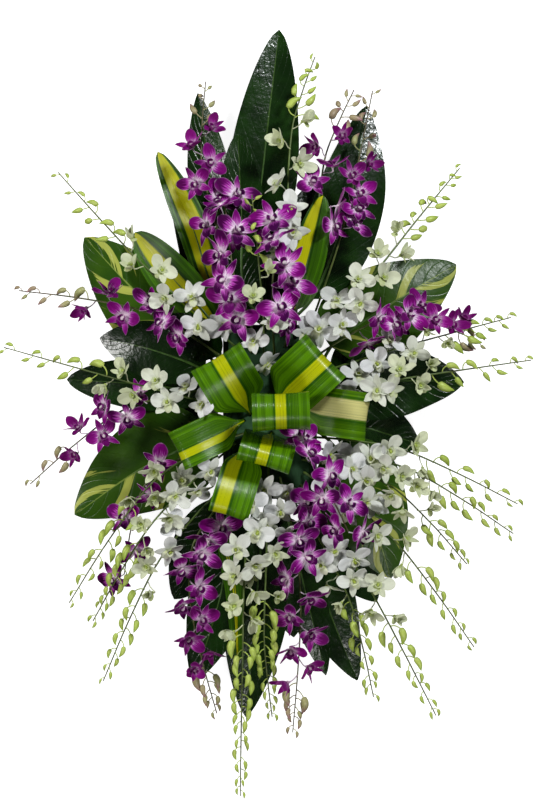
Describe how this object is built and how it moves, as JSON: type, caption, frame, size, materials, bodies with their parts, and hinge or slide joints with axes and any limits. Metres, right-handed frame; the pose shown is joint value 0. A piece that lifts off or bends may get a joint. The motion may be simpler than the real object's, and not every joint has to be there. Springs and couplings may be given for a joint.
{
  "type": "orchid wreath",
  "caption": "Flat-backed hanging flower arrangement: arching orchid sprays and large leaves round a bow of folded striped leaves, stuck in a foam block in a tray.",
  "frame": {"origin": "middle of the tray's flat underside, which is the wreath's back", "axes": "+Z out of the wreath's face, +Y towards its top as it hangs, +X to its right seen from the front"},
  "size_m": [0.7552, 1.0852, 0.1951],
  "materials": {
    "tray_plastic": "smooth, dark green",
    "floral_foam": "dull, fine-grained, soaked",
    "dark_leaf": "waxy, sleek",
    "variegated_leaf": "waxy, marbled",
    "striped_leaf": "waxy, striped lengthwise",
    "white_orchid": "soft, matt petals",
    "purple_orchid": "soft, velvety petals"
  },
  "bodies": {
    "root": {"holder_tray": "tray_plastic", "foam_block": "floral_foam", "loop_north_west": "striped_leaf", "loop_north_east": "striped_leaf", "loop_east": "striped_leaf", "loop_west": "striped_leaf", "loop_south_west": "striped_leaf", "loop_centre": "striped_leaf", "loop_south": "striped_leaf", "leaf_top": "dark_leaf", "leaf_north_west": "dark_leaf", "leaf_north_east": "dark_leaf", "leaf_behind_dracaena": "dark_leaf", "leaf_front": "dark_leaf", "pothos_west": "variegated_leaf", "leaf_west": "dark_leaf", "leaf_west_low": "dark_leaf", "pothos_south_west": "variegated_leaf", "pothos_north_east": "variegated_leaf", "leaf_east": "dark_leaf", "pothos_south_east": "variegated_leaf", "leaf_south_east": "dark_leaf", "leaf_south_small": "dark_leaf", "leaf_south": "dark_leaf", "leaf_south_west": "dark_leaf", "dracaena_north_west": "striped_leaf", "dracaena_west": "striped_leaf", "dracaena_south": "striped_leaf", "dracaena_north": "striped_leaf", "leaf_fold": "dark_leaf", "white_north_west": "white_orchid", "white_west": "white_orchid", "white_north": "white_orchid", "white_centre": "white_orchid", "white_north_east": "white_orchid", "white_east_high": "white_orchid", "white_east": "white_orchid", "white_south_east_high": "white_orchid", "white_south_east": "white_orchid", "white_south_east_low": "white_orchid", "white_lower_east": "white_orchid", "white_lower_east_long": "white_orchid", "white_lower_east_inner": "white_orchid", "white_south_long": "white_orchid", "white_south": "white_orchid", "white_south_west": "white_orchid", "white_south_west_mid": "white_orchid", "white_south_west_low": "white_orchid", "purple_north_north_west": "purple_orchid", "purple_north_left": "purple_orchid", "purple_north_right": "purple_orchid", "purple_north_north_east": "purple_orchid", "purple_north_east": "purple_orchid", "purple_west": "purple_orchid", "purple_east": "purple_orchid", "purple_west_low": "purple_orchid", "purple_south_west": "purple_orchid", "purple_centre": "purple_orchid", "purple_south": "purple_orchid", "purple_behind_west": "purple_orchid"}
  },
  "joints": []
}
